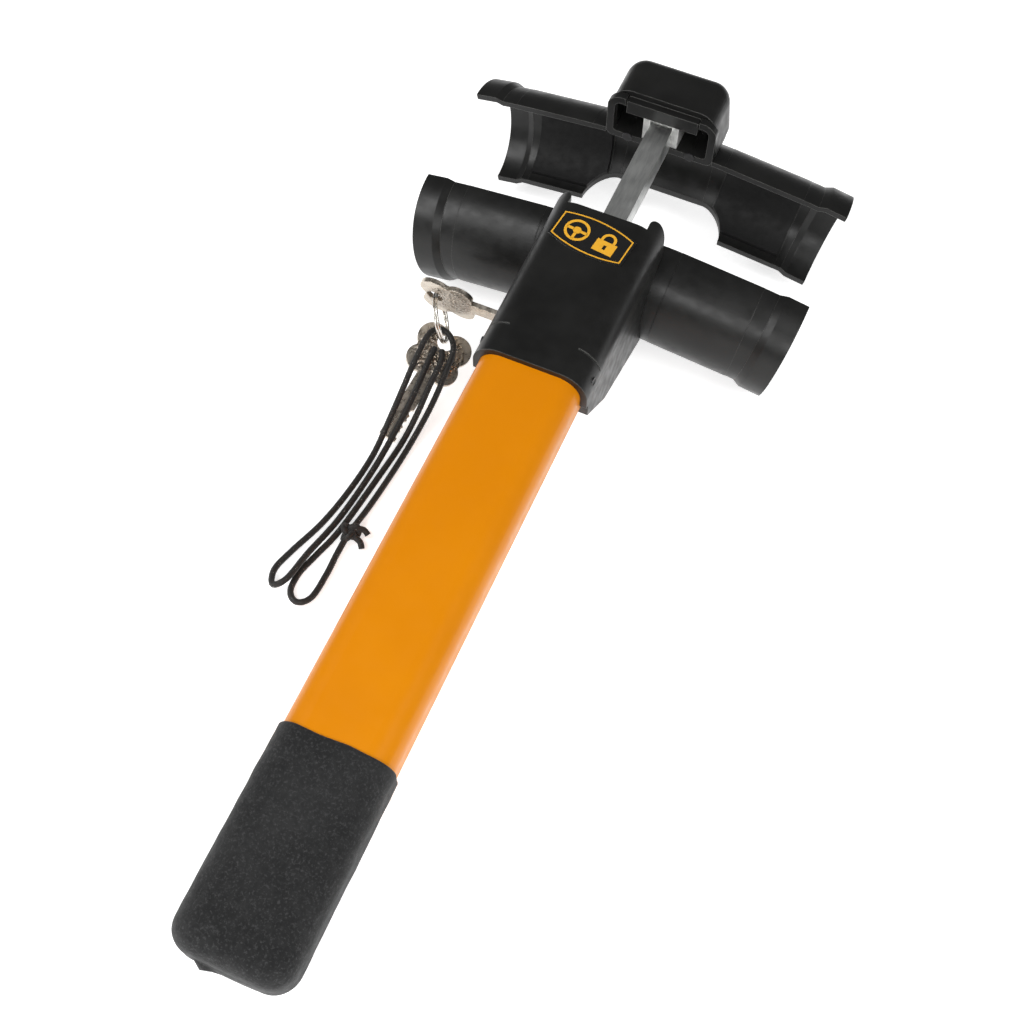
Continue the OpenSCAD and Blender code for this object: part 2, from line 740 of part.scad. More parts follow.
head_cover();
head_rear_body();
label_plate();
handle_tube();
handle_grip();
tube_end_plug();
head_cross_pin();
body_screws();
fixed_jaw();
fixed_jaw_liners();
fixed_jaw_screws();
liner_rivets();
bar_guide();
stop_bush();
sliding_bar();
bar_stop();
bar_stop_pin();
bar_socket();
moving_jaw();
moving_jaw_liner();
jaw_bracket();
bracket_rivets();
jaw_cap();
cap_screws();
lock_housing();
lock_plug();
plug_clip();
lock_cam();
locking_bolt();
bolt_spring();
key_1();
key_ring();
key_2();
lanyard_cord();
lanyard_knot();
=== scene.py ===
import json
import math

import bpy
from mathutils import Matrix, Vector, noise


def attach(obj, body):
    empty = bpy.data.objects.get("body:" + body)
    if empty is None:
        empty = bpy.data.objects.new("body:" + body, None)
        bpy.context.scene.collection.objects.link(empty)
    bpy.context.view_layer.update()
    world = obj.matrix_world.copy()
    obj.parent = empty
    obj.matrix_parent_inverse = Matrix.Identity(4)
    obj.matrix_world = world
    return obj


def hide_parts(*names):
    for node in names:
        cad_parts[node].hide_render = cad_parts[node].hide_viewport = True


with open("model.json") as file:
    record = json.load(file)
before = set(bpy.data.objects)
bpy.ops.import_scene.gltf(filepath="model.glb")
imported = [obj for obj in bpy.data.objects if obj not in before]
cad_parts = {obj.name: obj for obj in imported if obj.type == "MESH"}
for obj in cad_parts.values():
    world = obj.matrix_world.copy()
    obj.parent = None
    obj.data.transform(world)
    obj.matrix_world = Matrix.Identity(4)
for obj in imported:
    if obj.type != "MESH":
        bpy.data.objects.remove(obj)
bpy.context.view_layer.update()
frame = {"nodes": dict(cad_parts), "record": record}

MM = 0.001

# ---------------------------------------------------------------- frame of the head
# The head frame is square to the handle: X across, Y along it to the jaws, Z out of the label's face.
# The lock lies on its jaws and its grip, so that frame is tipped, shifted and lifted.
LIE_TILT = math.radians(9.3)
LIE_SHIFT = 101.3 * MM
LIE_LIFT = 74.44 * MM
LIE = Matrix.Translation((0, LIE_SHIFT, LIE_LIFT)) @ Matrix.Rotation(LIE_TILT, 4, "X")
TUBE_W = 39.6
TUBE_H = 24
TUBE_R = 9
TUBE_Z = -14.6


def lie(x, y, z):
    """Row-frame point in metres of a head-frame point in millimetres."""
    return LIE @ Vector((x * MM, y * MM, z * MM))


# ---------------------------------------------------------------- camera
def add_camera():
    data = bpy.data.cameras.new("camera")
    data.lens = 50.5
    data.sensor_width = 36
    data.dof.use_dof = False
    camera = bpy.data.objects.new("camera", data)
    camera.location = (0.10915, -0.29616, 0.44221)
    camera.rotation_euler = [math.radians(a) for a in (36.0, -3.68, 23.67)]
    bpy.context.collection.objects.link(camera)
    bpy.context.scene.camera = camera


add_camera()


# ---------------------------------------------------------------- mesh helpers
def mesh_object(name, points, faces, smooth=True):
    """Object made of the given points and faces, linked to the scene."""
    mesh = bpy.data.meshes.new(name)
    mesh.from_pydata([tuple(p) for p in points], [], faces)
    mesh.validate()
    mesh.update()
    for polygon in mesh.polygons:
        polygon.use_smooth = smooth
    piece = bpy.data.objects.new(name, mesh)
    bpy.context.collection.objects.link(piece)
    return piece


def spline_points(points, step):
    """Smooth curve through every point, sampled about every step. part.scad draws the same curve."""
    path = []
    last = len(points) - 1
    for i in range(last):
        a = points[max(i - 1, 0)]
        b = points[i]
        c = points[i + 1]
        d = points[min(i + 2, last)]
        count = max(2, round((c - b).length / step))
        for k in range(count):
            t = k / count
            square = t * t * (2 * a - 5 * b + 4 * c - d)
            cube = t * t * t * (3 * b - a - 3 * c + d)
            path.append(0.5 * (2 * b + t * (c - a) + square + cube))
    path.append(points[last].copy())
    return path


def tube_mesh(name, path, radius, sides, closed=False):
    """Tube along a path. radius is a function of the distance along it and the angle round it.

    The rings are turned on from one to the next without twist, and an open tube has flat ends.
    """
    tangents = []
    last = len(path) - 1
    for i in range(len(path)):
        ahead = path[(i + 1) % len(path)] if closed else path[min(i + 1, last)]
        behind = path[i - 1] if closed else path[max(i - 1, 0)]
        tangents.append((ahead - behind).normalized())
    normal = tangents[0].orthogonal().normalized()
    points = []
    along = 0
    for i, (place, tangent) in enumerate(zip(path, tangents)):
        normal = (normal - tangent * normal.dot(tangent)).normalized()
        binormal = tangent.cross(normal)
        if i:
            along += (place - path[i - 1]).length
        for k in range(sides):
            angle = 2 * math.pi * k / sides
            out = math.cos(angle) * normal + math.sin(angle) * binormal
            points.append(place + radius(along, angle) * out)
    faces = []
    for i in range(len(path) if closed else last):
        j = (i + 1) % len(path)
        for k in range(sides):
            m = (k + 1) % sides
            faces.append((i * sides + k, i * sides + m, j * sides + m, j * sides + k))
    if not closed:
        faces.append(tuple(reversed(range(sides))))
        faces.append(tuple(last * sides + k for k in range(sides)))
    return mesh_object(name, points, faces)


# ---------------------------------------------------------------- cord and knot
# LANYARD and KNOT_AT are part.scad's own route and knot, in millimetres in the row frame.
CORD_R = 1.2 * MM
BRAID_PITCH = 5 * MM
LANYARD = [
    (-46.8, 58, 17.8), (-45, 54, 16.6), (-45, 44, 12.8), (-45, 32, 7), (-45.6, 20, 2.3),
    (-46.4, 2, 1.6), (-48, -27, 1.6), (-50.6, -41, 1.6), (-52.4, -51, 1.6), (-51.4, -59, 1.6),
    (-47.2, -62, 1.6), (-43.4, -58, 1.6), (-43.2, -47, 1.6), (-44, -37, 1.7), (-44, -27, 2.4),
    (-43.2, -13, 1.6), (-42.6, 5, 1.6), (-42.4, 22, 2.3), (-41.8, 38, 7), (-41.8, 50, 13),
    (-43, 60.8, 18), (-48.8, 65.8, 20.5), (-53.6, 61.6, 21.4), (-54.2, 50, 17.6), (-53.8, 38, 12.6),
    (-53.4, 25, 7.2), (-53, 10, 2.1), (-53.4, -9, 1.6), (-55.4, -27, 1.6), (-59.4, -43, 1.6),
    (-61.2, -53, 1.6), (-58.4, -59.4, 2.2), (-54.4, -56, 4), (-52.8, -43, 4.1), (-50.8, -23, 1.6),
    (-49.8, 1, 1.6), (-49.4, 20, 4.8), (-49.2, 38, 10.8), (-49.8, 54, 16.8), (-49.4, 58, 18)]
KNOT_AT = (-44, -27, 2.6)


def braided(along, angle):
    """Radius of a braided cord: two sets of strands that wind opposite ways."""
    turn = 2 * math.pi * along / BRAID_PITCH
    one_way = abs(math.sin(2 * angle + turn))
    other_way = abs(math.sin(2 * angle - turn))
    return CORD_R * (0.9 + 0.12 * max(one_way, other_way))


def make_cord():
    """Cord along its whole route, and the path that it follows."""
    route = [Vector(p) * MM for p in LANYARD]
    path = spline_points(route, 0.8 * MM)
    cord = tube_mesh("lanyard_braid", path, braided, 12)
    return cord, path


def make_knot():
    """Overhand knot, drawn as a trefoil that closes on itself, with two short tails."""
    centre = Vector(KNOT_AT) * MM
    half_w = 1.0625 * MM
    half_l = 1.25 * MM
    half_h = 1.3 * MM
    steps = 120
    path = []
    for k in range(steps):
        t = 2 * math.pi * k / steps
        x = math.sin(t) + 2 * math.sin(2 * t)
        y = math.cos(t) - 2 * math.cos(2 * t)
        path.append(centre + Vector((half_w * x, half_l * y, -half_h * math.sin(3 * t))))
    knot = tube_mesh("lanyard_overhand", path, braided, 12, closed=True)
    tails = []
    for name, route in (
            ("lanyard_tail_a", [(0, 1, 0), (2.6, -1.4, 0.6), (5.4, -2.2, -0.2), (7, -4, -1.2)]),
            ("lanyard_tail_b", [(0, -1, 0.4), (2.2, 2, 0.8), (4.4, 3, 0.2), (6.4, 2.4, -1)])):
        points = [centre + Vector(p) * MM for p in route]
        tail = tube_mesh(name, spline_points(points, 0.6 * MM), braided, 12)
        tail.parent = knot
        tails.append(tail)
    return knot, tails


cord, cord_path = make_cord()
knot, knot_tails = make_knot()


# ---------------------------------------------------------------- dipped grip
# Millimetres in the head frame
GRIP_T = 1.1
GRIP_END = -299
GRIP_L = 74
GRIP_TOP = GRIP_END + GRIP_L
GRIP_ROUND = 9
EDGE_ZONE = 6
EDGE_WANDER = 0.7
EDGE_WAVE = 9
LUMP = 0.22
LUMP_WAVE = 7
CROWN = 0.6
NUB_X = -6
NUB_Z = 1
NUB_R = 2
NUB_L = 2.4


def rounded_box(w, h, r, count):
    """Points evenly spaced round a rounded rectangle, from the middle of its right side."""
    straight = [h - 2 * r, w - 2 * r]
    quarter = math.pi * r / 2
    total = 2 * sum(straight) + 4 * quarter
    far_x = w / 2 - r
    far_y = h / 2 - r
    corners = [(far_x, far_y), (-far_x, far_y), (-far_x, -far_y), (far_x, -far_y)]
    points = []
    for k in range(count):
        s = total * k / count + straight[0] / 2
        for side in range(5):
            run = straight[side % 2]
            turn = side * math.pi / 2
            ahead = Vector((-math.sin(turn), math.cos(turn)))
            out = Vector((math.cos(turn), math.sin(turn)))
            if s < run:
                before = Vector(corners[(side - 1) % 4])
                points.append(before + r * out + s * ahead)
                break
            s -= run
            if s < quarter:
                angle = turn + s / r
                points.append(Vector(corners[side % 4]) + r * Vector((math.cos(angle), math.sin(angle))))
                break
            s -= quarter
    return points


def grip_rings():
    """Rings of the grip from the middle of its end to its open top: (y, share, inset).

    share shrinks a ring's outline towards the middle, and inset moves it in from the full size.
    """
    rings = []
    for share in (0.02, 0.3, 0.6, 0.85):
        rings.append((GRIP_END, share, GRIP_ROUND))
    arc_steps = 12
    for k in range(arc_steps + 1):
        angle = math.pi / 2 * k / arc_steps
        inset = GRIP_ROUND * (1 - math.sin(angle))
        rings.append((GRIP_END + GRIP_ROUND * (1 - math.cos(angle)), 1, inset))
    body_steps = 60
    for k in range(1, body_steps + 1):
        rings.append((GRIP_END + GRIP_ROUND + (GRIP_L - GRIP_ROUND) * k / body_steps, 1, 0))
    for rise, inset in ((0.5, 0.3), (0.7, 0.8), (0.6, GRIP_T + 0.02)):
        rings.append((GRIP_TOP + rise, 1, inset))
    return rings


def grip_point(p, y, share):
    """Place on the grip, with its lumps, wandering top edge, crowned end and drip nub."""
    x, z = p * share
    fall = min(1, max(0, (y - (GRIP_TOP - EDGE_ZONE)) / EDGE_ZONE))
    edge = EDGE_WANDER * noise.noise(Vector((x / EDGE_WAVE, z / EDGE_WAVE, 4)))
    lump = LUMP * noise.noise(Vector((x / LUMP_WAVE, y / LUMP_WAVE, z / LUMP_WAVE))) * (1 - fall)
    out = Vector((p.x, p.y)).normalized() * lump
    crown = CROWN * (1 - share * share) if y == GRIP_END else 0
    from_nub = (x - NUB_X) ** 2 + (z - NUB_Z) ** 2
    nub = NUB_L * math.exp(-from_nub / NUB_R ** 2) if y < GRIP_END + NUB_R else 0
    return lie(x + out.x, y - crown + fall * edge - nub, TUBE_Z + z + out.y)


def make_grip():
    around = 128
    w = TUBE_W + 2 * GRIP_T
    h = TUBE_H + 2 * GRIP_T
    r = TUBE_R + GRIP_T
    rings = grip_rings()
    points = []
    for y, share, inset in rings:
        for p in rounded_box(w - 2 * inset, h - 2 * inset, r - inset, around):
            points.append(grip_point(p, y, share))
    faces = [tuple(range(around))]
    for i in range(len(rings) - 1):
        for k in range(around):
            m = (k + 1) % around
            faces.append((i * around + k, (i + 1) * around + k, (i + 1) * around + m, i * around + m))
    return mesh_object("dipped_grip", points, faces)


grip = make_grip()


# ---------------------------------------------------------------- label's print
LABEL_AT = (-1 * MM, -12.7 * MM, 0.4 * MM)
LABEL_TURN = math.radians(-7)
LABEL_PLACE = LIE @ Matrix.Translation(LABEL_AT) @ Matrix.Rotation(LABEL_TURN, 4, "Z")
LABEL_HALF_W = 15.5
LABEL_HALF_H = 8.9
LABEL_BOW_R = 46
BORDER_OUTER_INSET = 0.9
BORDER_INNER_INSET = 1.45
INK = 0.06
WHEEL_X = -6.4
LOCK_X = 6.2


def on_label(outlines, name):
    """Thin raised print: each outline is a closed strip between an outer and an inner line."""
    points = []
    faces = []
    for outer, inner in outlines:
        count = len(outer)
        start = len(points)
        for lift in (0, INK):
            for x, y in outer + inner:
                points.append(LABEL_PLACE @ Vector((x * MM, y * MM, lift * MM)))
        low_out, low_in, top_out, top_in = (start + count * n for n in range(4))
        for k in range(count):
            m = (k + 1) % count
            faces.append((top_out + k, top_out + m, top_in + m, top_in + k))
            faces.append((low_out + k, low_out + m, top_out + m, top_out + k))
            faces.append((low_in + m, low_in + k, top_in + k, top_in + m))
    return mesh_object(name, points, faces, smooth=False)


def bowed(inset):
    """Outline of the label, with its bowed top and bottom, moved in by inset."""
    half_w = LABEL_HALF_W - inset
    mid = LABEL_HALF_H - inset
    across = 16
    top = []
    for k in range(across + 1):
        x = -half_w + 2 * half_w * k / across
        top.append((x, mid - LABEL_BOW_R + math.sqrt(LABEL_BOW_R ** 2 - x ** 2)))
    return top + [(-x, -y) for x, y in top]


def ring(cx, cy, outer, inner, turn=360, count=40):
    """Outer and inner line of a ring, or of an arch where turn is less than 360 degrees."""
    steps = count if turn == 360 else count + 1
    angles = [math.radians(turn * k / count) for k in range(steps)]
    out = [(cx + outer * math.cos(a), cy + outer * math.sin(a)) for a in angles]
    inn = [(cx + inner * math.cos(a), cy + inner * math.sin(a)) for a in angles]
    return out, inn


def bar_shape(x0, y0, x1, y1, width):
    """Straight stroke as a strip that closes on its own middle line."""
    ahead = Vector((x1 - x0, y1 - y0)).normalized()
    side = Vector((-ahead.y, ahead.x)) * width / 2
    corners = [
        (x0 + side.x, y0 + side.y), (x0 - side.x, y0 - side.y),
        (x1 - side.x, y1 - side.y), (x1 + side.x, y1 + side.y)]
    middle = [(x0, y0), (x0, y0), (x1, y1), (x1, y1)]
    return corners, middle


def make_border():
    return on_label([(bowed(BORDER_OUTER_INSET), bowed(BORDER_INNER_INSET))], "label_border")


def wheel_sign(x):
    """Steering wheel: a rim, a hub and three spokes."""
    shapes = [ring(x, 0, 5, 3.9), ring(x, 0, 1.6, 0.01)]
    for angle in (180, 0, 270):
        a = math.radians(angle)
        near = (x + 1.3 * math.cos(a), 1.3 * math.sin(a))
        far = (x + 4.3 * math.cos(a), 4.3 * math.sin(a))
        shapes.append(bar_shape(*near, *far, 1.2))
    return shapes


def lock_body(x):
    """Body of the padlock, round its keyhole."""
    body = [(x - 4.1, -4.7), (x + 4.1, -4.7), (x + 4.1, 0.9), (x - 4.1, 0.9)]
    hole = [(x - 0.6, -3.1), (x + 0.6, -3.1), (x + 0.6, -1), (x - 0.6, -1)]
    return body, hole


def lock_arch(x):
    """Flat arch of the padlock, on two short legs."""
    out_r = 3
    in_r = 1.9
    foot = 0.8
    out, inn = ring(x, 1.8, out_r, in_r, turn=180, count=24)
    out = [(x + out_r, foot)] + out + [(x - out_r, foot)]
    inn = [(x + in_r, foot)] + inn + [(x - in_r, foot)]
    points = [LABEL_PLACE @ Vector((u * MM, v * MM, INK * MM)) for u, v in out + inn]
    count = len(out)
    faces = [(k, count + k, count + k + 1, k + 1) for k in range(count - 1)]
    return mesh_object("label_emblem_arch", points, faces, smooth=False)


def make_emblem():
    """Two plain signs, a steering wheel and a padlock."""
    piece = on_label(wheel_sign(WHEEL_X) + [lock_body(LOCK_X)], "label_emblem")
    arch = lock_arch(LOCK_X)
    arch.parent = piece
    return piece, arch


border = make_border()
emblem, emblem_arch = make_emblem()


# ---------------------------------------------------------------- weld round the bar's end
WELD_Y = 61.6
WELD_WANDER = 0.5
BEAD_R = 1.05
BEAD_LUMP = 0.35
RIPPLE = 0.2
RIPPLE_L = 1.5 * MM


def bead(along, angle):
    """Radius of a weld bead, with ripples along it and lumps."""
    ripple = RIPPLE * math.sin(2 * math.pi * along / RIPPLE_L)
    lump = BEAD_LUMP * noise.noise(Vector((along / MM, math.cos(angle), math.sin(angle))))
    return (BEAD_R + ripple + lump) * MM


def make_weld():
    """Lumpy bead over the bar's top and sides, where it enters its cast socket."""
    half_w = 5
    low = -21.6
    high = -12.1
    steps = 14
    corners = [(-half_w, low), (-half_w, high), (half_w, high), (half_w, low)]
    path = []
    for (x0, z0), (x1, z1) in zip(corners, corners[1:]):
        for k in range(steps):
            share = k / steps
            x = x0 + share * (x1 - x0)
            z = z0 + share * (z1 - z0)
            wander = WELD_WANDER * noise.noise(Vector((x, z, 2)))
            path.append(lie(x, WELD_Y + wander, z))
    path.append(lie(half_w, WELD_Y, low))
    return tube_mesh("weld_bead", path, bead, 10)


weld = make_weld()


# ---------------------------------------------------------------- materials
class Look:
    """A node material around one Principled shader, with helpers to add and join nodes.

    A noise scale is about the number of its features in a metre.
    """

    def __init__(self, name, **sockets):
        self.material = bpy.data.materials.new(name)
        self.material.use_nodes = True
        self.tree = self.material.node_tree
        self.shader = self.tree.nodes["Principled BSDF"]
        for socket, value in sockets.items():
            self.shader.inputs[socket.replace("_", " ")].default_value = value
        self.place = self.add("ShaderNodeTexCoord").outputs["Object"]

    def add(self, kind, **settings):
        node = self.tree.nodes.new(kind)
        for key, value in settings.items():
            setattr(node, key, value)
        return node

    def join(self, source, target):
        self.tree.links.new(source, target)

    def scaled(self, scale):
        mapping = self.add("ShaderNodeMapping")
        mapping.inputs["Scale"].default_value = scale
        self.join(self.place, mapping.inputs["Vector"])
        return mapping.outputs["Vector"]

    def noise(self, scale, detail=3, place=None, rough=0.5):
        node = self.add("ShaderNodeTexNoise")
        node.inputs["Scale"].default_value = scale
        node.inputs["Detail"].default_value = detail
        node.inputs["Roughness"].default_value = rough
        self.join(place or self.place, node.inputs["Vector"])
        return node.outputs["Fac"]

    def ramp(self, value, low, high, from_min=0.35, from_max=0.65):
        """Maps a 0 to 1 value onto a range of numbers."""
        node = self.add("ShaderNodeMapRange")
        node.inputs["From Min"].default_value = from_min
        node.inputs["From Max"].default_value = from_max
        node.inputs["To Min"].default_value = low
        node.inputs["To Max"].default_value = high
        self.join(value, node.inputs["Value"])
        return node.outputs["Result"]

    def blend(self, factor, one, two):
        node = self.add("ShaderNodeMix", data_type="RGBA")
        self.join(factor, node.inputs["Factor"])
        for socket, color in (("A", one), ("B", two)):
            target = [i for i in node.inputs if i.name == socket and i.type == "RGBA"][0]
            if isinstance(color, tuple):
                target.default_value = (*color, 1)
            else:
                self.join(color, target)
        return [o for o in node.outputs if o.type == "RGBA"][0]

    def color(self, output):
        self.join(output, self.shader.inputs["Base Color"])

    def roughness(self, output):
        self.join(output, self.shader.inputs["Roughness"])

    def soft_edges(self, radius):
        """Normal that rounds sharp edges."""
        node = self.add("ShaderNodeBevel", samples=6)
        node.inputs["Radius"].default_value = radius
        return node.outputs["Normal"]

    def edge_share(self, rounded, low, high):
        """1 on sharp edges and 0 on flat or gently curved faces, from a rounded normal."""
        flat = self.add("ShaderNodeNewGeometry").outputs["Normal"]
        dot = self.add("ShaderNodeVectorMath", operation="DOT_PRODUCT")
        self.join(rounded, dot.inputs[0])
        self.join(flat, dot.inputs[1])
        turn = self.add("ShaderNodeMath", operation="SUBTRACT")
        turn.inputs[0].default_value = 1
        self.join(dot.outputs["Value"], turn.inputs[1])
        return self.ramp(turn.outputs["Value"], 0, 1, low, high)

    def bump(self, height, distance, strength=1, normal=None):
        node = self.add("ShaderNodeBump")
        node.inputs["Distance"].default_value = distance
        node.inputs["Strength"].default_value = strength
        self.join(height, node.inputs["Height"])
        if normal:
            self.join(normal, node.inputs["Normal"])
        return node.outputs["Normal"]

    def normal(self, output):
        self.join(output, self.shader.inputs["Normal"])


def satin_black():
    look = Look("satin_black", Specular_IOR_Level=0.3)
    cloud = look.noise(60, 4)
    face = look.blend(look.ramp(cloud, 0, 1), (0.0075, 0.0075, 0.0072), (0.012, 0.012, 0.0115))
    edges = look.soft_edges(0.5 * MM)
    # Sharp edges are painted a lighter grey: this is a painted highlight along the edges, not wear.
    painted_edge_highlight = look.edge_share(edges, 0.08, 0.35)
    look.color(look.blend(painted_edge_highlight, face, (0.15, 0.15, 0.14)))
    look.roughness(look.ramp(look.noise(220, 5), 0.3, 0.42))
    peel = look.bump(look.noise(900, 2), 0.05 * MM, 0.35, edges)
    look.normal(peel)
    return look.material


def label_black():
    look = Look("label_black", Coat_Weight=0.6, Coat_Roughness=0.12)
    look.color(look.blend(look.noise(300, 2), (0.004, 0.004, 0.004), (0.007, 0.007, 0.007)))
    look.roughness(look.ramp(look.noise(500, 3), 0.22, 0.34))
    look.normal(look.bump(look.noise(1500, 2), 0.02 * MM, 0.3, look.soft_edges(0.2 * MM)))
    return look.material


def label_gold():
    look = Look("label_gold", Metallic=0.0)
    look.color(look.blend(look.noise(900, 3), (0.75, 0.36, 0.02), (0.85, 0.45, 0.035)))
    look.roughness(look.ramp(look.noise(700, 2), 0.35, 0.5))
    return look.material


def tube_yellow():
    look = Look("tube_yellow", Coat_Weight=0.15, Coat_Roughness=0.06, Specular_IOR_Level=0.15)
    cloud = look.noise(25, 3)
    look.color(look.blend(look.ramp(cloud, 0, 1), (0.655, 0.212, 0.0005), (0.69, 0.23, 0.001)))
    look.roughness(look.ramp(look.noise(180, 4), 0.3, 0.4))
    peel = look.bump(look.noise(330, 2), 0.06 * MM, 0.18, look.soft_edges(0.4 * MM))
    look.normal(peel)
    look.join(peel, look.shader.inputs["Coat Normal"])
    return look.material


def grip_dip():
    look = Look("grip_dip", Sheen_Weight=0.12, Sheen_Roughness=0.5, Specular_IOR_Level=0.3)
    speck = look.noise(1100, 2, rough=0.7)
    cloud = look.noise(45, 4)
    dark = look.blend(look.ramp(cloud, 0, 1), (0.009, 0.0092, 0.0095), (0.016, 0.0162, 0.0165))
    look.color(look.blend(look.ramp(speck, 0, 1, 0.52, 0.75), dark, (0.042, 0.042, 0.043)))
    look.roughness(look.ramp(look.noise(400, 3), 0.75, 0.95))
    coarse = look.bump(look.noise(420, 4, rough=0.65), 0.35 * MM, 0.6)
    look.normal(look.bump(look.noise(1300, 3), 0.15 * MM, 0.6, coarse))
    return look.material


def liner_rubber():
    look = Look("liner_rubber", Specular_IOR_Level=0.2)
    look.color(look.blend(look.noise(200, 4), (0.006, 0.006, 0.006), (0.01, 0.01, 0.01)))
    look.roughness(look.ramp(look.noise(300, 4), 0.5, 0.7))
    look.normal(look.bump(look.noise(1200, 3), 0.08 * MM, 0.5, look.soft_edges(0.3 * MM)))
    return look.material


def steel(name, light, dark, rough_low, rough_high, stretch, grain=0.04):
    """Metal with drawn lines, which run along Y where stretch is small there."""
    look = Look(name, Metallic=1.0)
    lines = look.noise(1, 4, look.scaled(stretch), rough=0.6)
    stain = look.noise(120, 5)
    tone = look.blend(look.ramp(lines, 0, 1), dark, light)
    look.color(look.blend(look.ramp(stain, 0, 0.2), tone, tuple(0.6 * c for c in dark)))
    look.roughness(look.ramp(stain, rough_low, rough_high))
    look.normal(look.bump(lines, grain * MM, 0.5, look.soft_edges(0.3 * MM)))
    return look.material


def cast_socket():
    look = Look("cast_socket", Metallic=0.85)
    grain = look.noise(450, 5, rough=0.7)
    look.color(look.blend(look.ramp(look.noise(160, 4), 0, 1), (0.5, 0.5, 0.49), (0.88, 0.88, 0.86)))
    look.roughness(look.ramp(grain, 0.3, 0.6))
    look.normal(look.bump(grain, 0.4 * MM, 0.8, look.soft_edges(0.5 * MM)))
    return look.material


def dark_screws():
    look = Look("dark_screws", Metallic=0.9)
    look.color(look.blend(look.noise(400, 4), (0.03, 0.03, 0.032), (0.09, 0.09, 0.09)))
    look.roughness(look.ramp(look.noise(300, 3), 0.3, 0.5))
    look.normal(look.bump(look.noise(900, 3), 0.05 * MM, 0.4, look.soft_edges(0.25 * MM)))
    return look.material


def guide_nylon():
    look = Look("guide_nylon", Subsurface_Weight=0.1)
    look.color(look.blend(look.noise(150, 3), (0.5, 0.48, 0.4), (0.6, 0.58, 0.5)))
    look.roughness(look.ramp(look.noise(300, 3), 0.45, 0.6))
    look.normal(look.bump(look.noise(700, 2), 0.04 * MM, 0.4, look.soft_edges(0.3 * MM)))
    return look.material


def plug_brass():
    look = Look("plug_brass", Metallic=1.0)
    turned = look.noise(1, 4, look.scaled((2500, 150, 150)))
    look.color(look.blend(turned, (0.55, 0.38, 0.14), (0.72, 0.52, 0.24)))
    look.roughness(look.ramp(turned, 0.22, 0.38))
    look.normal(look.bump(turned, 0.03 * MM, 0.5, look.soft_edges(0.25 * MM)))
    return look.material


# Middles of the two key bows in the row frame, and where a bow's dull face fades out
BOW_INNER = 8.5 * MM
BOW_OUTER = 10.5 * MM
BOW_CENTRES = {
    "key_1": (-50.4 * MM, 71.7 * MM, 32.6 * MM),
    "key_2": (-48.2 * MM, 57.7 * MM, 14.6 * MM),
}


def key_nickel(name, bow_centre):
    """Bright blade, and a dull pitted bow around bow_centre."""
    look = Look(name, Metallic=1.0)
    away = look.add("ShaderNodeVectorMath", operation="DISTANCE")
    away.inputs[1].default_value = bow_centre
    look.join(look.place, away.inputs[0])
    on_bow = look.ramp(away.outputs["Value"], 1, 0, BOW_INNER, BOW_OUTER)
    pits = look.add("ShaderNodeTexVoronoi")
    pits.inputs["Scale"].default_value = 950
    look.join(look.place, pits.inputs["Vector"])
    relief = look.add("ShaderNodeMath", operation="MULTIPLY")
    look.join(on_bow, relief.inputs[0])
    look.join(pits.outputs["Distance"], relief.inputs[1])
    stain = look.noise(350, 5, rough=0.7)
    tone = look.blend(look.ramp(stain, 0, 1), (0.47, 0.41, 0.34), (0.66, 0.6, 0.52))
    dull = look.add("ShaderNodeMath", operation="MULTIPLY")
    dull.inputs[1].default_value = 0.45
    look.join(on_bow, dull.inputs[0])
    look.color(look.blend(dull.outputs["Value"], tone, (0.26, 0.21, 0.165)))
    look.roughness(look.ramp(stain, 0.2, 0.42))
    look.normal(look.bump(relief.outputs["Value"], 0.5 * MM, 0.9, look.soft_edges(0.25 * MM)))
    return look.material


def ring_nickel():
    look = Look("ring_nickel", Metallic=1.0)
    look.color(look.blend(look.noise(500, 3), (0.6, 0.58, 0.54), (0.78, 0.76, 0.72)))
    look.roughness(look.ramp(look.noise(500, 3), 0.14, 0.28))
    look.normal(look.bump(look.noise(1500, 3), 0.02 * MM, 0.4))
    return look.material


def cord_black():
    look = Look("cord_black", Sheen_Weight=0.15)
    speck = look.noise(1400, 2, rough=0.8)
    look.color(look.blend(look.ramp(speck, 0, 1, 0.66, 0.72), (0.008, 0.0075, 0.007), (0.32, 0.31, 0.28)))
    look.roughness(look.ramp(look.noise(900, 3), 0.55, 0.8))
    look.normal(look.bump(look.noise(2200, 3), 0.12 * MM, 0.7))
    return look.material


def weld_metal():
    look = Look("weld_metal", Metallic=0.95)
    grain = look.noise(700, 4, rough=0.7)
    look.color(look.blend(look.ramp(grain, 0, 1), (0.4, 0.4, 0.39), (0.8, 0.8, 0.78)))
    look.roughness(look.ramp(grain, 0.22, 0.45))
    look.normal(look.bump(grain, 0.3 * MM, 0.7))
    return look.material


DRAWN = (900, 18, 900)
PLAIN = (300, 300, 300)
slots = {
    "satin_black": satin_black(),
    "label_black": label_black(),
    "tube_yellow": tube_yellow(),
    "grip_dip": grip_dip(),
    "plain_steel": steel("plain_steel", (0.62, 0.63, 0.64), (0.4, 0.41, 0.42), 0.25, 0.4, PLAIN),
    "zinc_bar": steel("zinc_bar", (0.86, 0.87, 0.85), (0.68, 0.69, 0.68), 0.3, 0.44, DRAWN, 0.05),
    "cast_socket": cast_socket(),
    "liner_rubber": liner_rubber(),
    "dark_screws": dark_screws(),
    "guide_nylon": guide_nylon(),
    "plug_brass": plug_brass(),
    "key_nickel": ring_nickel(),
    "cord_black": cord_black(),
}
own_looks = {node: key_nickel(f"{node}_nickel", centre) for node, centre in BOW_CENTRES.items()}
slot_of = {part["node"]: part["material_slot"] for part in frame["record"]["subparts"]}
for node_name, piece in frame["nodes"].items():
    material = own_looks.get(node_name, slots[slot_of[node_name]])
    for material_slot in piece.material_slots:
        material_slot.material = material


def paint(pieces, material):
    """Gives pieces one material."""
    for piece in pieces:
        piece.data.materials.append(material)


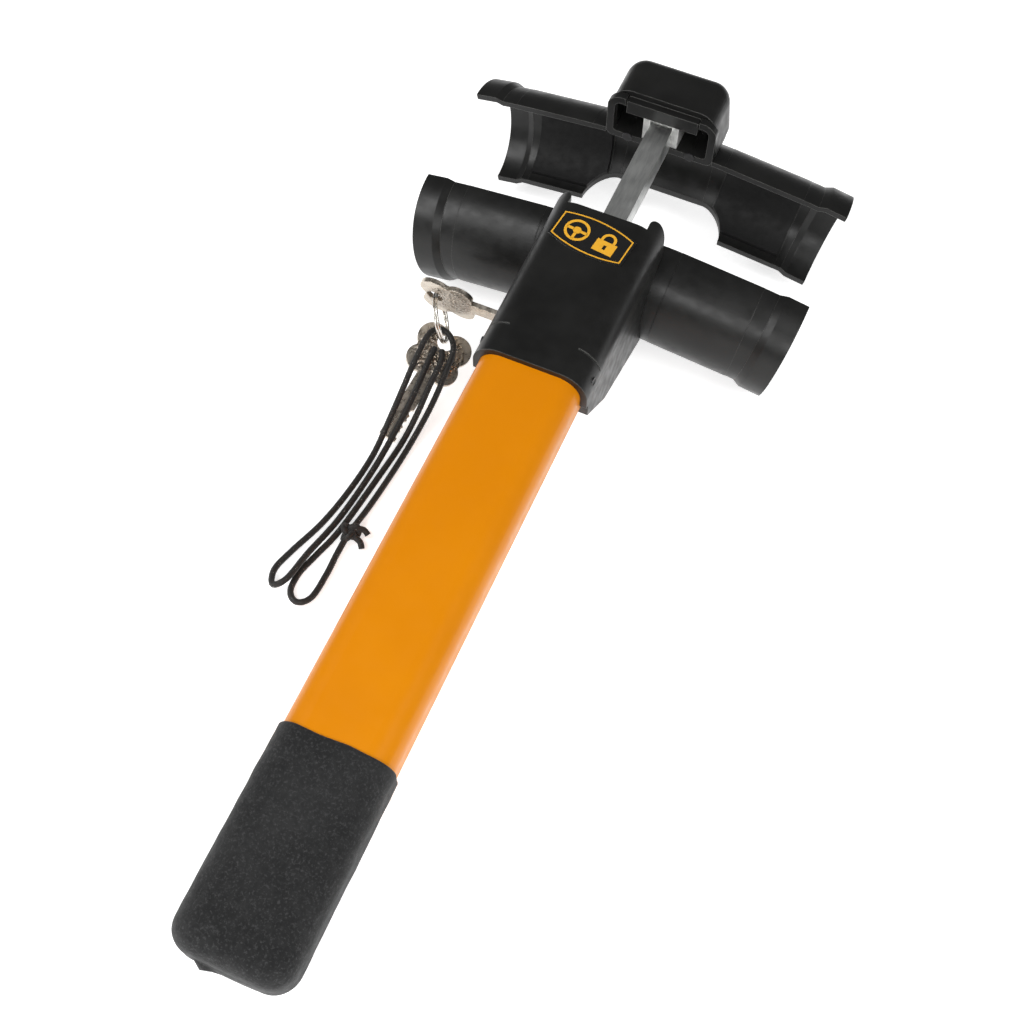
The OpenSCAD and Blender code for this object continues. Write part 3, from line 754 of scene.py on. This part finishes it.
paint([grip], slots["grip_dip"])
paint([cord, knot, *knot_tails], slots["cord_black"])
paint([border, emblem, emblem_arch], label_gold())
paint([weld], weld_metal())

# ---------------------------------------------------------------- what moves with what
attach(grip, "root")
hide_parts("handle_grip")
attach(border, "root")
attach(emblem, "root")
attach(weld, "sliding_jaw")
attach(cord, "bunch")
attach(knot, "bunch")
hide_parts("lanyard_cord")
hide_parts("lanyard_knot")


# ---------------------------------------------------------------- floor and light
FLOOR_HALF = 2.5
FLOOR_GLOW = 0.65
WORLD_GLOW = 0.16
LIGHT_AIM = Vector((0, 0, 0.04))
SOFT_BOXES = [
    {"name": "left_box", "place": (-0.8, -0.5, 0.9), "width": 0.5, "height": 0.9, "power": 10},
    {"name": "right_box", "place": (0.9, -0.4, 0.9), "width": 0.5, "height": 0.9, "power": 8.5},
    {"name": "front_box", "place": (0.1, -1.1, 0.8), "width": 0.9, "height": 0.4, "power": 7},
]


def add_floor():
    """White paper that glows a little, so that it stays white under the lock."""
    half = FLOOR_HALF
    corners = [(-half, -half, 0), (half, -half, 0), (half, half, 0), (-half, half, 0)]
    floor = mesh_object("floor", corners, [(0, 1, 2, 3)], smooth=False)
    look = Look("floor_paper")
    look.color(look.blend(look.noise(40, 2), (0.93, 0.93, 0.93), (0.95, 0.95, 0.95)))
    look.roughness(look.ramp(look.noise(80, 2), 0.75, 0.85))
    look.shader.inputs["Emission Color"].default_value = (1, 1, 1, 1)
    look.shader.inputs["Emission Strength"].default_value = FLOOR_GLOW
    floor.data.materials.append(look.material)


def add_light(name, place, width, height, power):
    data = bpy.data.lights.new(name, "AREA")
    data.shape = "RECTANGLE"
    data.size = width
    data.size_y = height
    data.energy = power
    light = bpy.data.objects.new(name, data)
    light.location = place
    aim = LIGHT_AIM - Vector(place)
    light.rotation_euler = aim.to_track_quat("-Z", "Y").to_euler()
    bpy.context.collection.objects.link(light)


def add_world():
    world = bpy.data.worlds.new("studio")
    world.use_nodes = True
    background = world.node_tree.nodes["Background"]
    background.inputs["Color"].default_value = (1, 1, 1, 1)
    background.inputs["Strength"].default_value = WORLD_GLOW
    bpy.context.scene.world = world
    bpy.context.scene.view_settings.view_transform = "Standard"


add_floor()
for soft_box in SOFT_BOXES:
    add_light(**soft_box)
add_world()
